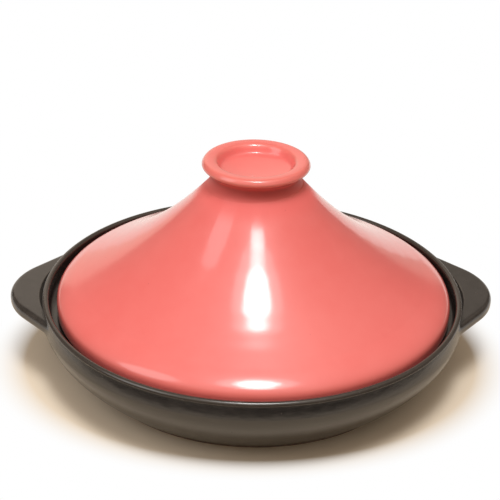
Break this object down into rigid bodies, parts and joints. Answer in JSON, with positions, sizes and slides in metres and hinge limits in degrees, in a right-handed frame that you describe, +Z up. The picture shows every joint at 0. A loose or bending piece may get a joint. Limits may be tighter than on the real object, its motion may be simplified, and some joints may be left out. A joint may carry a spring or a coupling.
{
  "type": "tagine",
  "caption": "Low stoneware tagine: a round black-glazed dish with two ear lugs, and a lift-off conical coral-glazed lid with a flared hollow knob.",
  "frame": {"origin": "centre of the foot ring, on the surface that the dish stands on", "axes": "+Z up along the axis that the dish and the lid are turned on; the lugs lie along X, slightly behind the diameter; the front faces -Y"},
  "size_m": [0.27, 0.234, 0.1223],
  "materials": {
    "black_glaze": "satin black glaze on stoneware",
    "coral_glaze": "glossy coral pink glaze on stoneware"
  },
  "bodies": {
    "base": {"base_dish": "black_glaze", "lug_left": "black_glaze", "lug_right": "black_glaze"},
    "lid": {"lid_shell": "coral_glaze", "lid_knob": "coral_glaze"}
  },
  "joints": [
    {"name": "lid_lift", "type": "slide", "parent": "base", "child": "lid", "axis": [0, 0, 1], "range_m": [0, 0.12]}
  ]
}
